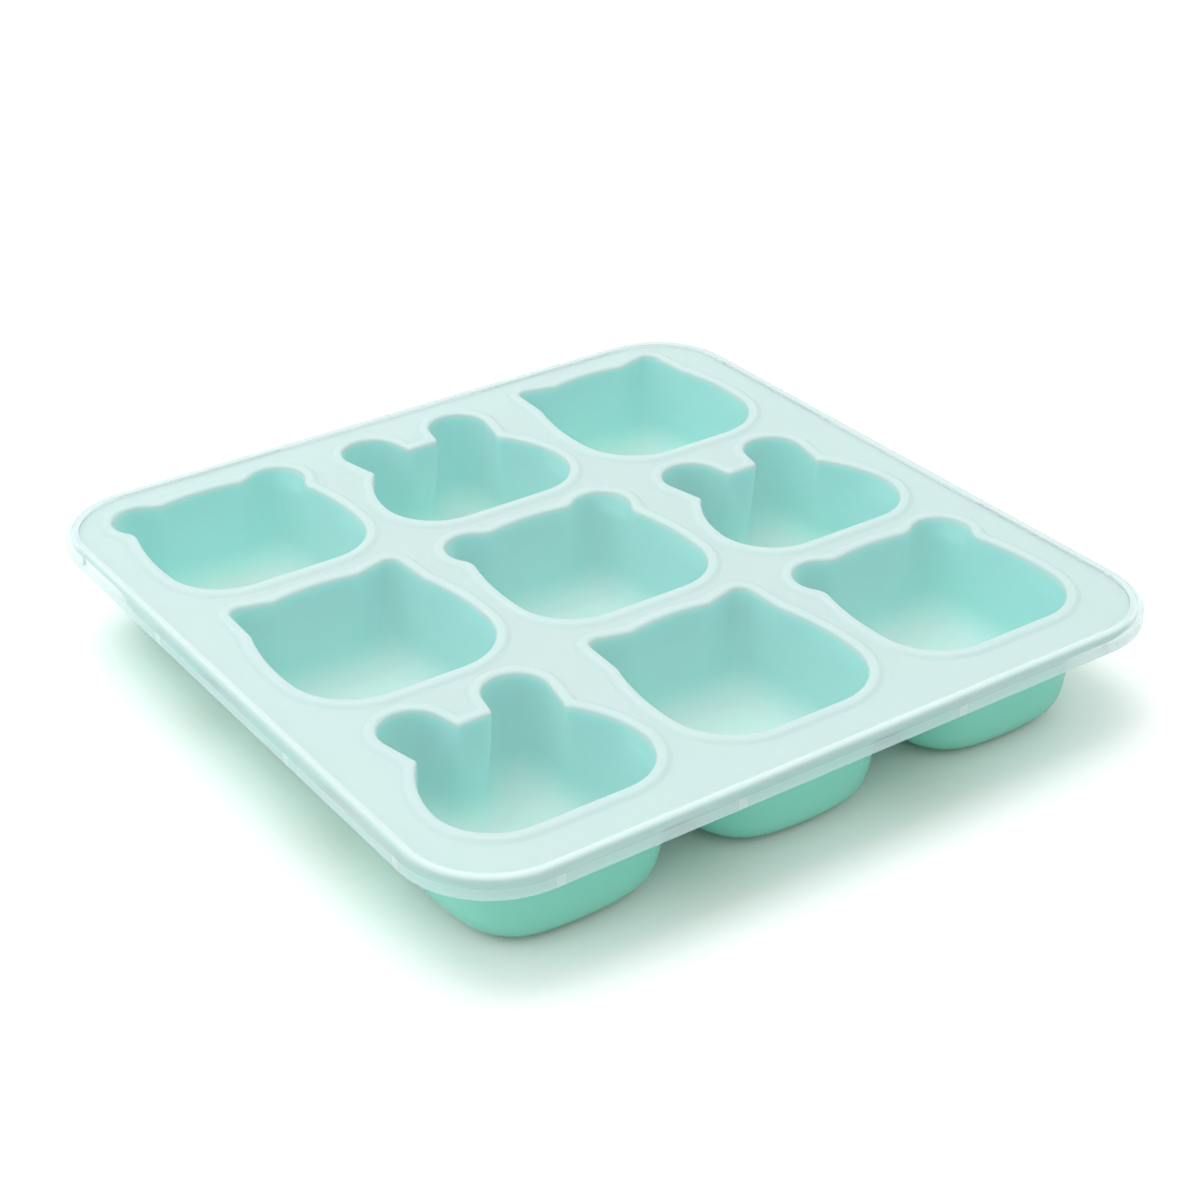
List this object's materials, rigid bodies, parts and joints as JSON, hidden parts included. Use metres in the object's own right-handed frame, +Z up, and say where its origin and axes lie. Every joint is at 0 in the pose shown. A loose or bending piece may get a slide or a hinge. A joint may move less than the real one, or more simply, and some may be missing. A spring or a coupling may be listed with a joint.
{
  "type": "silicone food mold",
  "caption": "Soft mint silicone tray of bear, rabbit and cat head cups with a frosted press-on lid, for setting or freezing portions of baby food.",
  "frame": {"origin": "on the table, under the middle of the lid; the cups' flat undersides are at Z = 0", "axes": "+Z up out of the cups' mouths, +Y towards the heads' ears, +X to the right seen from the chin side"},
  "size_m": [0.189, 0.189, 0.0302],
  "materials": {
    "silicone": "soft satin silicone",
    "frosted_lid": "frosted translucent soft plastic"
  },
  "bodies": {
    "tray": {"deck_back_left": "silicone", "deck_back_centre": "silicone", "deck_back_right": "silicone", "deck_middle_left": "silicone", "deck_middle_centre": "silicone", "deck_middle_right": "silicone", "deck_front_left": "silicone", "deck_front_centre": "silicone", "deck_front_right": "silicone", "cup_back_left_bear": "silicone", "cup_back_centre_rabbit": "silicone", "cup_back_right_cat": "silicone", "cup_middle_left_cat": "silicone", "cup_middle_centre_bear": "silicone", "cup_middle_right_rabbit": "silicone", "cup_front_left_rabbit": "silicone", "cup_front_centre_cat": "silicone", "cup_front_right_bear": "silicone"},
    "lid": {"lid": "frosted_lid"}
  },
  "joints": [
    {"name": "lid_lift", "type": "slide", "parent": "tray", "child": "lid", "axis": [0, 0, 1], "range_m": [0, 0.06]}
  ]
}
